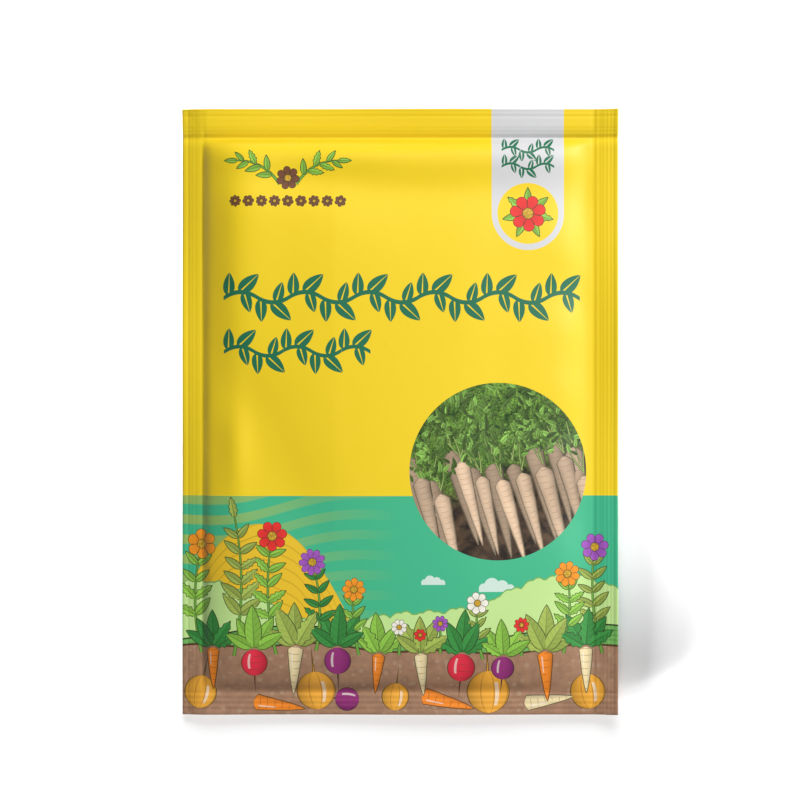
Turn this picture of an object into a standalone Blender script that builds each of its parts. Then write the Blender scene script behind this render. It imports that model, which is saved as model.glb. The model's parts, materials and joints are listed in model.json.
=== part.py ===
"""A flat seed packet, lying on its back: two printed film panels, heat-sealed
together along all four edges, with a pinch of flat, winged seeds between them.

Metres, +Z up. X runs across the packet and Y up its printed front. The origin is
under the packet's middle, on the surface that it lies on.
"""

import math
import random

import bmesh
import bpy
from mathutils import Matrix, Vector

MM = 0.001

# Driving sizes of the packet
PACKET_WIDTH = 100.0 * MM
PACKET_HEIGHT = 139.0 * MM
FILM_THICKNESS = 0.12 * MM
WELD_GAP = 0.10 * MM  # between the two films in the seal, so that the solids stay apart

# Widths of the four heat seals
SIDE_SEAL = 6.0 * MM
TOP_SEAL = 6.5 * MM
BOTTOM_SEAL = 5.5 * MM
CRIMPS_PER_SEAL = 3  # ridges pressed along each seal, with a groove after each
CRIMP_DEPTH = 0.07 * MM  # how far a ridge stands over the middle of the film

# How far the filled pouch swells off the plane of the seals
BACK_SWELL = 2.1 * MM  # down to the surface that it lies on
FRONT_SHOULDER = 3.3 * MM
FRONT_CROWN = 1.9 * MM
SIDE_SHOULDER_WIDTH = 15.0 * MM
TOP_SHOULDER_WIDTH = 10.0 * MM
BOTTOM_SHOULDER_WIDTH = 12.0 * MM
BACK_SHOULDER_WIDTH = 17.0 * MM
BACK_FLATNESS = 1.14  # over 1, so that the middle of the back is cut off flat

# Soft valleys pressed into the swollen front: (x, y, length, width, turn, depth)
FRONT_VALLEYS = (
    (-30.0 * MM, -6.0 * MM, 46.0 * MM, 13.0 * MM, math.radians(-62), 0.55 * MM),
    (-8.0 * MM, 53.0 * MM, 60.0 * MM, 9.0 * MM, math.radians(0), 0.45 * MM),
    (32.0 * MM, -22.0 * MM, 60.0 * MM, 7.0 * MM, math.radians(88), 0.30 * MM),
)

# The free edge of the seals lifts and dips a little, in slow waves round the packet
EDGE_WAVE = 0.35 * MM
EDGE_WAVE_REACH = 9.0 * MM
EDGE_WAVES_ACROSS = 1.55
EDGE_WAVES_ALONG = 2.15
EDGE_WAVE_START = 0.6

# Grid lines of the films, as distances inwards from a seal's inner edge
SHOULDER_STATIONS = (1.2 * MM, 3.0 * MM, 5.5 * MM, 8.5 * MM, 12.0 * MM, 16.0 * MM)
MIDDLE_STEP = 7.5 * MM

# The seeds: flat ovals with a thin wing round a thicker middle
SEED_COUNT = 48
SEED_FIELD_HALF_WIDTH = 29.0 * MM
SEED_FIELD_BOTTOM = -49.0 * MM
SEED_FIELD_TOP = 28.0 * MM
SEED_SPACING = 6.8 * MM  # least distance between two middles
SEED_LENGTH = (5.4 * MM, 6.4 * MM)
SEED_BREADTH = 0.78  # of its length
SEED_THICKNESS = 1.1 * MM
SEED_BODY_REACH = 0.72  # of its radius, where the thicker middle ends
SEED_WING = 0.16  # of its thickness, where the wing leaves the middle
SEED_MOST_TILT = math.radians(9)
SEED_CLEARANCE = 0.3 * MM
SEED_SEGMENTS = 10
SEED_RINGS = 6
SEED_DRAW = 24

WELD_HEIGHT = FILM_THICKNESS + WELD_GAP / 2 + BACK_SWELL

# Base colours: film yellow as it shows most, the same film's back, and dry seed
FILM_YELLOW = (0.98, 0.70, 0.035, 1.0)
FILM_BACK_YELLOW = (0.93, 0.66, 0.04, 1.0)
SEED_TAN = (0.52, 0.36, 0.17, 1.0)


def clear_scene():
    for obj in list(bpy.data.objects):
        bpy.data.objects.remove(obj)


def make_material(name, colour, roughness):
    material = bpy.data.materials.new(name)
    material.use_nodes = True
    shader = material.node_tree.nodes["Principled BSDF"]
    shader.inputs["Base Color"].default_value = colour
    shader.inputs["Roughness"].default_value = roughness
    shader.inputs["Metallic"].default_value = 0.0
    return material


def shoulder(distance, width):
    """0 at the seal, rising steeply and levelling off at 1, width away from it."""
    share = min(max(distance / width, 0.0), 1.0)
    return 1.0 - (1.0 - share) ** 2


def distances_to_seals(x, y):
    """How far a point lies inside the inner edge of the side, top and bottom seals."""
    side = PACKET_WIDTH / 2 - SIDE_SEAL - abs(x)
    top = PACKET_HEIGHT / 2 - TOP_SEAL - y
    bottom = PACKET_HEIGHT / 2 - BOTTOM_SEAL + y
    return side, top, bottom


def valley_depth(x, y):
    """The soft hollows of the front at a point: each is a long, turned bell shape."""
    total = 0.0
    for centre_x, centre_y, length, width, turn, depth in FRONT_VALLEYS:
        away_x, away_y = x - centre_x, y - centre_y
        along = away_x * math.cos(turn) + away_y * math.sin(turn)
        across = away_y * math.cos(turn) - away_x * math.sin(turn)
        reach = (2 * along / length) ** 2 + (2 * across / width) ** 2
        total += depth * math.exp(-reach)
    return total


def front_swell(x, y):
    """Height of the front film over the plane of the seals."""
    side, top, bottom = distances_to_seals(x, y)
    if min(side, top, bottom) <= 0.0:
        return 0.0
    edge = (
        shoulder(side, SIDE_SHOULDER_WIDTH)
        * shoulder(top, TOP_SHOULDER_WIDTH)
        * shoulder(bottom, BOTTOM_SHOULDER_WIDTH)
    )
    crown = (1.0 - (2 * x / PACKET_WIDTH) ** 2) * (1.0 - (2 * y / PACKET_HEIGHT) ** 2)
    return edge * (FRONT_SHOULDER + FRONT_CROWN * crown - valley_depth(x, y))


def back_swell(x, y):
    """Depth of the back film under the plane of the seals, flat over its middle."""
    side, top, bottom = distances_to_seals(x, y)
    edge = (
        shoulder(side, BACK_SHOULDER_WIDTH)
        * shoulder(top, BACK_SHOULDER_WIDTH)
        * shoulder(bottom, BACK_SHOULDER_WIDTH)
    )
    return BACK_SWELL * min(edge * BACK_FLATNESS, 1.0)


def crimp(distance_from_edge, seal_width):
    """Height of the pressed ridges and grooves that run along one seal."""
    if distance_from_edge >= seal_width:
        return 0.0
    turns = CRIMPS_PER_SEAL * distance_from_edge / seal_width
    return CRIMP_DEPTH * math.sin(2 * math.pi * turns)


def seal_height(x, y):
    """Height of the plane of the seals, with its waving edge and pressed ridges."""
    side = PACKET_WIDTH / 2 - abs(x)
    top = PACKET_HEIGHT / 2 - y
    bottom = PACKET_HEIGHT / 2 + y
    nearness = max(1.0 - min(side, top, bottom) / EDGE_WAVE_REACH, 0.0)
    across = 2 * math.pi * EDGE_WAVES_ACROSS * x / PACKET_WIDTH
    along = 2 * math.pi * EDGE_WAVES_ALONG * y / PACKET_HEIGHT
    wave = math.sin(across + EDGE_WAVE_START) + math.sin(along)
    height = WELD_HEIGHT + EDGE_WAVE * nearness**2 * wave
    height += crimp(side, SIDE_SEAL)
    height += crimp(top, TOP_SEAL)
    height += crimp(bottom, BOTTOM_SEAL)
    return height


def front_inner_height(x, y):
    return seal_height(x, y) + WELD_GAP / 2 + front_swell(x, y)


def back_outer_height(x, y):
    if back_swell(x, y) >= BACK_SWELL:
        return 0.0
    return seal_height(x, y) - WELD_GAP / 2 - FILM_THICKNESS - back_swell(x, y)


def stations(half_length, first_seal, second_seal):
    """Grid lines from one edge of a film to the other.

    Each seal has a line on every ridge and groove, each shoulder has its own lines,
    and the middle is divided evenly.
    """
    crimp_lines = 2 * CRIMPS_PER_SEAL
    low = [-half_length]
    high = [half_length]
    for step in range(crimp_lines):
        share = (step + 0.5) / crimp_lines
        low.append(-half_length + first_seal * share)
        high.append(half_length - second_seal * share)
    low_inner = -half_length + first_seal
    high_inner = half_length - second_seal
    low.append(low_inner)
    high.append(high_inner)
    low.extend(low_inner + distance for distance in SHOULDER_STATIONS)
    high.extend(high_inner - distance for distance in SHOULDER_STATIONS)
    middle = high[-1] - low[-1]
    steps = round(middle / MIDDLE_STEP)
    between = [low[-1] + middle * step / steps for step in range(1, steps)]
    return low + between + high[::-1]


def make_film(name, lower_height, material, collection):
    """A sheet of film: a grid on the stations, given its thickness, then lifted.

    lower_height gives the height of its lower face over each point of the packet.
    """
    columns = stations(PACKET_WIDTH / 2, SIDE_SEAL, SIDE_SEAL)
    rows = stations(PACKET_HEIGHT / 2, BOTTOM_SEAL, TOP_SEAL)
    sheet = bmesh.new()
    bmesh.ops.create_grid(
        sheet,
        x_segments=len(columns) - 1,
        y_segments=len(rows) - 1,
        size=0.5,
    )
    for vertex in sheet.verts:
        column = round((vertex.co.x + 0.5) * (len(columns) - 1))
        row = round((vertex.co.y + 0.5) * (len(rows) - 1))
        vertex.co = (columns[column], rows[row], 0.0)
    lower = list(sheet.faces)
    grown = bmesh.ops.extrude_face_region(sheet, geom=lower, use_keep_orig=True)
    raised = [part for part in grown["geom"] if isinstance(part, bmesh.types.BMVert)]
    bmesh.ops.translate(sheet, verts=raised, vec=(0.0, 0.0, FILM_THICKNESS))
    bmesh.ops.recalc_face_normals(sheet, faces=sheet.faces)
    for vertex in sheet.verts:
        vertex.co.z += lower_height(vertex.co.x, vertex.co.y)
    mesh = bpy.data.meshes.new(name)
    sheet.to_mesh(mesh)
    sheet.free()
    mesh.shade_smooth()
    mesh.set_sharp_from_angle(angle=math.radians(40))
    mesh.materials.append(material)
    film = bpy.data.objects.new(name, mesh)
    collection.objects.link(film)
    return film


def seed_profile(radius_share):
    """Half thickness of a seed at a share of its radius: a body, then a thin wing."""
    body = max(1.0 - (radius_share / SEED_BODY_REACH) ** 2, 0.0)
    wing = 1.0 - radius_share
    return SEED_THICKNESS / 2 * ((1.0 - SEED_WING) * body + SEED_WING * wing)


def make_seed_mesh(name, length, material):
    """A flat oval seed, from a sphere whose rings are pressed to the seed's profile."""
    seed = bmesh.new()
    bmesh.ops.create_uvsphere(
        seed, u_segments=SEED_SEGMENTS, v_segments=SEED_RINGS, radius=1.0
    )
    for vertex in seed.verts:
        on_rim = math.isclose(vertex.co.z, 0.0, abs_tol=1e-6)
        side = 0.0 if on_rim else math.copysign(1.0, vertex.co.z)
        vertex.co.z = side * seed_profile(math.hypot(vertex.co.x, vertex.co.y))
        vertex.co.x *= length / 2
        vertex.co.y *= length * SEED_BREADTH / 2
    mesh = bpy.data.meshes.new(name)
    seed.to_mesh(mesh)
    seed.free()
    mesh.shade_smooth()
    mesh.materials.append(material)
    return mesh


def seed_places(draw):
    """Points strewn over the flat middle of the back film, clear of each other."""
    places = []
    while len(places) < SEED_COUNT:
        place = Vector(
            (
                draw.uniform(-SEED_FIELD_HALF_WIDTH, SEED_FIELD_HALF_WIDTH),
                draw.uniform(SEED_FIELD_BOTTOM, SEED_FIELD_TOP),
            )
        )
        if all((place - other).length >= SEED_SPACING for other in places):
            places.append(place)
    return places


def scatter_seeds(material, collection):
    """Flat seeds lying on the inside of the back film, each turned and tilted."""
    draw = random.Random(SEED_DRAW)
    for number, place in enumerate(seed_places(draw), start=1):
        name = f"seed_{number:02d}"
        length = draw.uniform(*SEED_LENGTH)
        tilt = draw.uniform(0.0, SEED_MOST_TILT)
        turn = Matrix.Rotation(draw.uniform(0.0, 2 * math.pi), 4, "Z")
        lean = Matrix.Rotation(tilt, 4, "X")
        rise = SEED_THICKNESS / 2 + math.sin(tilt) * length / 2
        height = FILM_THICKNESS + SEED_CLEARANCE + rise
        seed = bpy.data.objects.new(name, make_seed_mesh(name, length, material))
        seed.matrix_world = Matrix.Translation((place.x, place.y, height)) @ turn @ lean
        collection.objects.link(seed)


def main():
    clear_scene()
    packet = bpy.data.collections.new("seed_packet")
    bpy.context.scene.collection.children.link(packet)
    film_front = make_material("film_front", FILM_YELLOW, 0.38)
    film_back = make_material("film_back", FILM_BACK_YELLOW, 0.38)
    seed = make_material("seed", SEED_TAN, 0.8)
    make_film("front_panel", front_inner_height, film_front, packet)
    make_film("back_panel", back_outer_height, film_back, packet)
    scatter_seeds(seed, packet)


main()
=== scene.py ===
"""A seed packet lying on its back: printed film, heat-sealed along all four edges.

The two films are blown up as cloth between their seals, laid over a fine grid and
given their crimped seals. The print is worked out by node groups, from shapes that
the script places on the film: leaves, stems, roots and blooms.
"""

import json
import math
from typing import NamedTuple

import bpy
import numpy as np
from bpy.props import FloatProperty, FloatVectorProperty, PointerProperty
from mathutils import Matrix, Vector

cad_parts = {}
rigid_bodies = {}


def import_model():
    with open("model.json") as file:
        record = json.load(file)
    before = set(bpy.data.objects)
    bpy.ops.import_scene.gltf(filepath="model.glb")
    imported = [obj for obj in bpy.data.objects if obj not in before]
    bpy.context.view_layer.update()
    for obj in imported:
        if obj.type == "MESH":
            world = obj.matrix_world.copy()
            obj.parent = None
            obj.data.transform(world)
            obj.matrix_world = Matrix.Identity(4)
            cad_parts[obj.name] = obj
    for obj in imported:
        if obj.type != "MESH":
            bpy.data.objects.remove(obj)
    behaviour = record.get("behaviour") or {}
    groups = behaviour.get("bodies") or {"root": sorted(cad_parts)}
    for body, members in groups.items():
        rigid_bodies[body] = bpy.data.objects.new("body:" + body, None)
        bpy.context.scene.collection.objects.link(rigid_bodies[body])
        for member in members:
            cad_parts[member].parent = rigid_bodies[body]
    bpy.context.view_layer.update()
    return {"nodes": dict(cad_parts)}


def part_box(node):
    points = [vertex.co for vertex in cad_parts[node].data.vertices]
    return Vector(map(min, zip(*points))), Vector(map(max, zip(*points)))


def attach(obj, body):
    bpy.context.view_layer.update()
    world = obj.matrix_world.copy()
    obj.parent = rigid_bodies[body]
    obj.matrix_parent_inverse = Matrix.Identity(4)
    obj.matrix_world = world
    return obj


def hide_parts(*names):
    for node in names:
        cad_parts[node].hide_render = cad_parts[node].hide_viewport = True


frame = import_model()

bl_info = {
    "name": "Seed Packet",
    "version": (1, 0, 0),
    "blender": (4, 5, 0),
    "location": "View3D > Sidebar > Seed Packet",
    "description": "Dresses a sealed seed packet with its films, print, seeds and studio",
    "category": "Object",
}

MM = 0.001
BODY = "root"

PACKET_LOW, PACKET_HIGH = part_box("front_panel")
SEED_NODES = sorted(name for name in frame["nodes"] if name.startswith("seed_"))


def drop_selection():
    """Leaves nothing selected, so that an operator acts on its own piece alone."""
    bpy.ops.object.select_all(action="DESELECT")


def length_property(name, description, default):
    return FloatProperty(
        name=name, description=description, default=default, unit="LENGTH", precision=5
    )


def power_property(name, description, default):
    return FloatProperty(name=name, description=description, default=default, min=0, unit="POWER")


def strength_property(name, description, default):
    return FloatProperty(name=name, description=description, default=default, min=0)


def share_property(name, description, default):
    return FloatProperty(name=name, description=description, default=default, min=0, max=1)


def colour_property(name, description, default):
    return FloatVectorProperty(
        name=name, description=description, default=default, subtype="COLOR", size=3,
        min=0.0, max=1.0,
    )


class PacketSizes(bpy.types.PropertyGroup):
    width: length_property("Width", "Across the packet", PACKET_HIGH.x - PACKET_LOW.x)
    height: length_property("Height", "Up the packet", PACKET_HIGH.y - PACKET_LOW.y)
    film: length_property("Film", "Thickness of one film", 0.12 * MM)
    left_seal: length_property("Left seal", "Width of the left seal", 4.6 * MM)
    right_seal: length_property("Right seal", "Width of the right seal", 5.4 * MM)
    top_seal: length_property("Top seal", "Width of the top seal", 6.5 * MM)
    bottom_seal: length_property("Bottom seal", "Width of the bottom seal", 5.5 * MM)
    seal_height: length_property("Seal height", "The seals' height when it lies", 2.27 * MM)
    back_swell: length_property("Back swell", "How far the back sinks to its rest", 2.1 * MM)
    front_shoulder: length_property("Front shoulder", "Rise of the front's edges", 3.3 * MM)
    front_crown: length_property("Front crown", "Further rise to its middle", 1.2 * MM)
    groove: length_property("Groove", "Depth of a strong groove in a seal", 0.12 * MM)


class PrintInks(bpy.types.PropertyGroup):
    ground: colour_property("Ground", "Yellow ground", (0.985, 0.708, 0.020))
    band: colour_property("Band", "Teal of the lower part", (0.062, 0.530, 0.280))
    title: colour_property("Title", "Dark green of the vine", (0.020, 0.178, 0.091))
    tab: colour_property("Tab", "Grey white of the tab", (0.72, 0.72, 0.73))
    hill: colour_property("Hill", "Pale green of the far hill", (0.60, 0.86, 0.32))
    gold: colour_property("Gold", "Golden hill", (0.93, 0.60, 0.03))
    field: colour_property("Field", "Green of the near field", (0.20, 0.52, 0.13))
    soil: colour_property("Soil", "Brown of the bed", (0.41, 0.23, 0.14))
    line: colour_property("Line", "Dark line round the drawings", (0.030, 0.040, 0.014))
    cream: colour_property("Cream", "Pale panel of the back", (0.92, 0.86, 0.68))


class FilmFinish(bpy.types.PropertyGroup):
    roughness: share_property("Roughness", "Of the satin film", 0.47)
    specular: share_property("Specular", "Strength of its reflections", 0.35)
    coat: share_property("Coat", "Weight of the clear laminate", 0.06)
    coat_roughness: share_property("Coat roughness", "Of the clear laminate", 0.22)


class StudioSettings(bpy.types.PropertyGroup):
    lens: FloatProperty(name="Lens", description="Focal length", default=120.0, unit="CAMERA")
    frame_width: length_property("Frame", "What the picture spans", 183.8 * MM)
    frame_rise: length_property("Rise", "Picture's middle over the packet's", 2.77 * MM)
    floor_size: length_property("Floor", "Side of the floor", 3.0)
    sky: strength_property("Sky", "Light from all round", 0.09)
    key: power_property("Key", "Light on the packet from the upper right", 16.3)
    high: strength_property("High", "High sun on the floor", 1.80)
    low: strength_property("Low", "Low sun on the floor", 13.1)
    core: strength_property("Core", "Sun for the shadow's core", 3.5)
    patch: power_property("Patch", "Light on the floor beyond the packet's top", 31.0)


# The films' shape: values with MM are in metres, other lengths in millimetres

FINE_STEP = 0.63 * MM  # grid of the blown-up middle
SEAL_STEP = 0.25 * MM  # grid of the crimped seals
WELD_GAP = 0.004 * MM

CLOTH_STEP = 2.0 * MM
CLOTH_SCALE = 10.0  # the cloth solver is at ease with pieces of about a metre
CLOTH_FRAMES = 30
CLOTH_QUALITY = 8
CLOTH_MASS = 0.2
CLOTH_DAMPING = 5.0
CLOTH_RIPPLE = 0.01 * MM  # of the first shape, so that the film doesn't rise too evenly
CLOTH_DRAW = 7
# How much longer each film is than its first shape, its stiffness and the pressure in it
FRONT_CLOTH = (0.003, 8.0, 0.3)
BACK_CLOTH = (0.003, 12.0, 1.0)

FULL_SWELL = 5.5 * MM  # where the front's swell levels off
TIGHTNESS = 1.80  # how steeply it rises to there
LEAN = 0.45  # share of the front's swell that is lost at the right edge
LEAN_START, LEAN_END = -15.0, 50.0
RIGHT_END = 44.6  # where the front's swell runs out softly into the right seal
RIGHT_EASE = 3.5
BACK_STEEPNESS = 1.6
BACK_PRESSED = 1.03  # above 1, more of the back is pressed flat by its weight

# The seals' slow waves: height, reach in from the edge, and number and shift of the waves
WAVE_HEIGHT = 0.35 * MM
WAVE_REACH = 9.0 * MM
WAVES_ACROSS, WAVE_SHIFT = 1.55, 0.6
WAVES_UP = 2.15

# Grooves pressed along each seal: distance from the packet's edge, and strength
LEFT_GROOVES = ((1.3, 1.0), (2.1, 0.5), (3.0, 0.5), (3.9, 0.5), (4.6, 1.3))
RIGHT_GROOVES = ((1.06, 1.0), (1.8, 1.0), (2.66, 0.7), (3.5, 0.5), (4.2, 0.6), (5.4, 0.6))
TOP_GROOVES = ((0.5, 0.5), (1.6, 0.8), (4.4, 0.8), (5.1, 1.2), (6.4, 0.8))
BOTTOM_GROOVES = ((1.26, 0.8), (2.5, 0.8), (3.7, 0.7), (5.0, 1.0))
GROOVE_WIDTH = 0.30 * MM
GROOVES_PAST = 0.6 * MM  # how far a seal's last groove may reach past it
# A wide crease along the top seal: distance from the edge, width and depth
TOP_CREASE = (6.5, 1.0, 0.50)

# How far each seal's free edge is bent up, in millimetres: left, right, bottom, top
EDGE_BENDS = (-1.2, 1.25, 0.1, 0.7)
# Width of the rounded shoulders along the same four sides, of the front, back and folds
FRONT_SHOULDERS = (9.0, 32.0, 12.0, 5.0)
BACK_SHOULDERS = (17.0, 17.0, 17.0, 17.0)
FOLD_SHOULDERS = (9.0, 9.0, 9.0, 9.0)
# The front's sharp turn up from its seals: height, and width along the same sides
TURN_UP = 0.20 * MM
TURN_WIDTHS = (0.9, 14.0, 1.6, 1.6)

# Soft folds of the front: x, y, length, width, turn in degrees, and depth
FRONT_FOLDS = (
    (-30.0, -8.0, 50.0, 15.0, -62.0, 0.55),
    (-42.6, 12.0, 150.0, 8.0, 90.0, 0.60),
    (-37.0, 42.0, 60.0, 16.0, 90.0, -0.80),
    (-37.5, -9.0, 22.0, 6.0, 90.0, -0.50),
    (-22.0, 53.0, 50.0, 9.0, -3.0, 0.95),
    (18.0, 51.2, 60.0, 11.5, 3.0, 1.25),
    (18.0, 44.5, 60.0, 14.0, 3.0, 0.40),
    (-2.0, 44.0, 50.0, 16.0, -28.0, 0.12),
    (37.0, -6.0, 120.0, 9.0, 90.0, -0.12),
    (24.0, -10.0, 110.0, 14.0, 90.0, 0.25),
    (-26.0, -22.0, 60.0, 34.0, 90.0, 0.70),
    (-10.0, 59.0, 24.0, 5.0, 2.0, -0.30),
)


def shoulder(distance, width):
    """0 at a seal, rising steeply and levelling off at 1, width away from it."""
    share = np.clip(distance / width, 0.0, 1.0)
    return 1.0 - (1.0 - share) ** 2


def edge_distances(sizes, x, y):
    """Distances in from the left, right, bottom and top edges of the packet."""
    return (
        x + sizes.width / 2,
        sizes.width / 2 - x,
        y + sizes.height / 2,
        sizes.height / 2 - y,
    )


def seal_widths(sizes):
    return sizes.left_seal, sizes.right_seal, sizes.bottom_seal, sizes.top_seal


def swollen(sizes, x, y, widths):
    """0 on the seals and 1 over the pouch, with rounded shoulders between."""
    share = 1.0
    for distance, seal, width in zip(edge_distances(sizes, x, y), seal_widths(sizes), widths):
        share = share * shoulder(distance - seal, width * MM)
    return share


def front_start(sizes, x, y):
    """The front's rise over the seals before the cloth is blown up."""
    crown = (1 - (2 * x / sizes.width) ** 2) * (1 - (2 * y / sizes.height) ** 2)
    rise = sizes.front_shoulder + sizes.front_crown * crown
    return rise * swollen(sizes, x, y, FRONT_SHOULDERS)


def back_start(sizes, x, y):
    return sizes.back_swell * swollen(sizes, x, y, BACK_SHOULDERS)


def fold_depth(x, y, folds):
    """Depth of all the soft folds at each point: each is a long, turned bell shape."""
    total = np.zeros(np.broadcast(x, y).shape)
    for fold_x, fold_y, length, width, turn, depth in folds:
        away_x, away_y = x / MM - fold_x, y / MM - fold_y
        cosine, sine = math.cos(math.radians(turn)), math.sin(math.radians(turn))
        along = away_x * cosine + away_y * sine
        across = away_y * cosine - away_x * sine
        total += depth * MM * np.exp(-((2 * along / length) ** 2) - (2 * across / width) ** 2)
    return total


def grooves(distance, places):
    """Depth of the pressed grooves at a distance from the edge that they follow."""
    total = np.zeros(np.shape(distance))
    for place, strength in places:
        total += strength * np.exp(-(((distance - place * MM) / GROOVE_WIDTH) ** 2))
    return total


def seal_relief(sizes, x, y):
    """Height of the seals' plane: bent and waving edges, less the pressed grooves."""
    distances = edge_distances(sizes, x, y)
    nearest = np.minimum(np.minimum(*distances[:2]), np.minimum(*distances[2:]))
    nearness = np.maximum(1 - nearest / WAVE_REACH, 0)
    wave = np.sin(2 * math.pi * WAVES_ACROSS * x / sizes.width + WAVE_SHIFT)
    wave = wave + np.sin(2 * math.pi * WAVES_UP * y / sizes.height)
    height = sizes.seal_height + WAVE_HEIGHT * nearness**2 * wave
    places = (LEFT_GROOVES, RIGHT_GROOVES, BOTTOM_GROOVES, TOP_GROOVES)
    for distance, seal, lines, bend in zip(distances, seal_widths(sizes), places, EDGE_BENDS):
        height = height + bend * MM * np.clip(1 - distance / seal, 0.0, 1.0)
        in_reach = distance < seal + GROOVES_PAST
        height = height - sizes.groove * grooves(distance, lines) * in_reach
    place, width, depth = TOP_CREASE
    return height - depth * MM * np.exp(-(((distances[3] / MM - place) / width) ** 2))


def turn_up(sizes, x, y):
    """The front's small, sharp rise along its seals."""
    rise = TURN_UP
    for distance, seal, width in zip(edge_distances(sizes, x, y), seal_widths(sizes), TURN_WIDTHS):
        rise = rise * (1 - np.exp(-((np.maximum(distance - seal, 0.0) / (width * MM)) ** 2)))
    return rise


def grid_lines(span, first_seal, second_seal):
    """Places of the grid's lines: close together in both seals, wider between them."""
    low, high = -span / 2, span / 2
    first = np.linspace(low, low + first_seal, round(first_seal / SEAL_STEP) + 1)
    second = np.linspace(high - second_seal, high, round(second_seal / SEAL_STEP) + 1)
    count = round((second[0] - first[-1]) / FINE_STEP)
    middle = np.linspace(first[-1], second[0], count + 1)
    return np.concatenate([first, middle[1:-1], second])


def vertex_places(mesh):
    places = np.zeros(len(mesh.vertices) * 3)
    mesh.vertices.foreach_get("co", places)
    return places.reshape(-1, 3)


def add_grid(name, columns, rows):
    """A flat grid mesh on these lines. Returns it with each vertex's column and row."""
    drop_selection()
    bpy.ops.mesh.primitive_grid_add(
        x_subdivisions=len(columns) - 1, y_subdivisions=len(rows) - 1, size=1.0
    )
    grid = bpy.context.object
    grid.name = name
    places = vertex_places(grid.data)
    column = np.round((places[:, 0] + 0.5) * (len(columns) - 1)).astype(int)
    row = np.round((places[:, 1] + 0.5) * (len(rows) - 1)).astype(int)
    return grid, column, row


def set_places(piece, x, y, z):
    places = np.stack([x, y, z], axis=1)
    piece.data.vertices.foreach_set("co", places.ravel())
    piece.data.update()


def blow_up(sizes, name, start, slack, stiffness, pressure):
    """Simulates one film, pinned along its seals and pushed out from within.

    The result is the places of its columns and rows, and a grid of heights.
    """
    left = -sizes.width / 2 + sizes.left_seal
    bottom = -sizes.height / 2 + sizes.bottom_seal
    across = sizes.width - sizes.left_seal - sizes.right_seal
    along = sizes.height - sizes.bottom_seal - sizes.top_seal
    columns = np.linspace(left, left + across, round(across / CLOTH_STEP) + 1)
    rows = np.linspace(bottom, bottom + along, round(along / CLOTH_STEP) + 1)
    heights = start(sizes, columns[None, :], rows[:, None])
    film, column, row = add_grid(name, columns, rows)
    draw = np.random.default_rng(CLOTH_DRAW)
    rim = (column == 0) | (column == len(columns) - 1) | (row == 0) | (row == len(rows) - 1)
    height = heights[row, column] + CLOTH_RIPPLE * draw.standard_normal(len(row)) * ~rim
    scale = CLOTH_SCALE
    set_places(film, columns[column] * scale, rows[row] * scale, height * scale)
    pinned = film.vertex_groups.new(name="seal")
    pinned.add(np.nonzero(rim)[0].tolist(), 1.0, "REPLACE")
    cloth = film.modifiers.new("Cloth", "CLOTH")
    cloth.settings.quality = CLOTH_QUALITY
    cloth.settings.mass = CLOTH_MASS
    cloth.settings.bending_stiffness = stiffness
    cloth.settings.air_damping = CLOTH_DAMPING
    cloth.settings.vertex_group_mass = "seal"
    cloth.settings.use_pressure = True
    cloth.settings.uniform_pressure_force = pressure
    cloth.settings.shrink_min = -slack
    cloth.settings.effector_weights.gravity = 0.0
    cloth.collision_settings.use_collision = False
    cloth.point_cache.frame_end = CLOTH_FRAMES
    for frame_number in range(1, CLOTH_FRAMES + 1):
        bpy.context.scene.frame_set(frame_number)
    bpy.ops.object.modifier_apply(modifier=cloth.name)
    heights[row, column] = vertex_places(film.data)[:, 2] / scale
    bpy.data.objects.remove(film)
    bpy.context.scene.frame_set(1)
    return columns, rows, heights


def cubic_weights(places, lines):
    """A matrix that reads a smooth curve through values on even lines at the places."""
    count = len(lines)
    position = (places - lines[0]) / (lines[1] - lines[0])
    first = np.clip(np.floor(position).astype(int), 0, count - 2)
    along = np.clip(position - first, 0.0, 1.0)
    weights = np.zeros((len(places), count))
    taps = (
        -0.5 * along + along**2 - 0.5 * along**3,
        1 - 2.5 * along**2 + 1.5 * along**3,
        0.5 * along + 2 * along**2 - 1.5 * along**3,
        -0.5 * along**2 + 0.5 * along**3,
    )
    for offset, tap in enumerate(taps):
        line = np.clip(first + offset - 1, 0, count - 1)
        np.add.at(weights, (np.arange(len(places)), line), tap)
    return weights


def smoothed(heights, times):
    """Evens out the finest ripples of a grid of heights and leaves its rim as it is."""
    for _ in range(times):
        inner = heights[1:-1, 1:-1] * 4
        inner = inner + 2 * (heights[:-2, 1:-1] + heights[2:, 1:-1])
        inner = inner + 2 * (heights[1:-1, :-2] + heights[1:-1, 2:])
        inner = inner + heights[:-2, :-2] + heights[:-2, 2:]
        inner = inner + heights[2:, :-2] + heights[2:, 2:]
        heights[1:-1, 1:-1] = inner / 16
    return heights


def drawn_tight(swell, x):
    """Evens out a swell: steeper from its rim, and flatter over its top and right."""
    lean = np.clip((x / MM - LEAN_START) / (LEAN_END - LEAN_START), 0.0, 1.0)
    ease = 1 - np.exp(-((np.maximum(RIGHT_END - x / MM, 0.0) / RIGHT_EASE) ** 2))
    return FULL_SWELL * (1 - np.exp(-TIGHTNESS * swell / FULL_SWELL)) * (1 - LEAN * lean) * ease


def pressed_flat(swell, depth):
    """A swell that rises steeply from its rim and ends level, at the depth of the rest."""
    level = depth * (1 - np.exp(-((swell / depth) ** 2) * BACK_STEEPNESS)) ** 0.5
    return np.minimum(level * BACK_PRESSED, depth)


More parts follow.
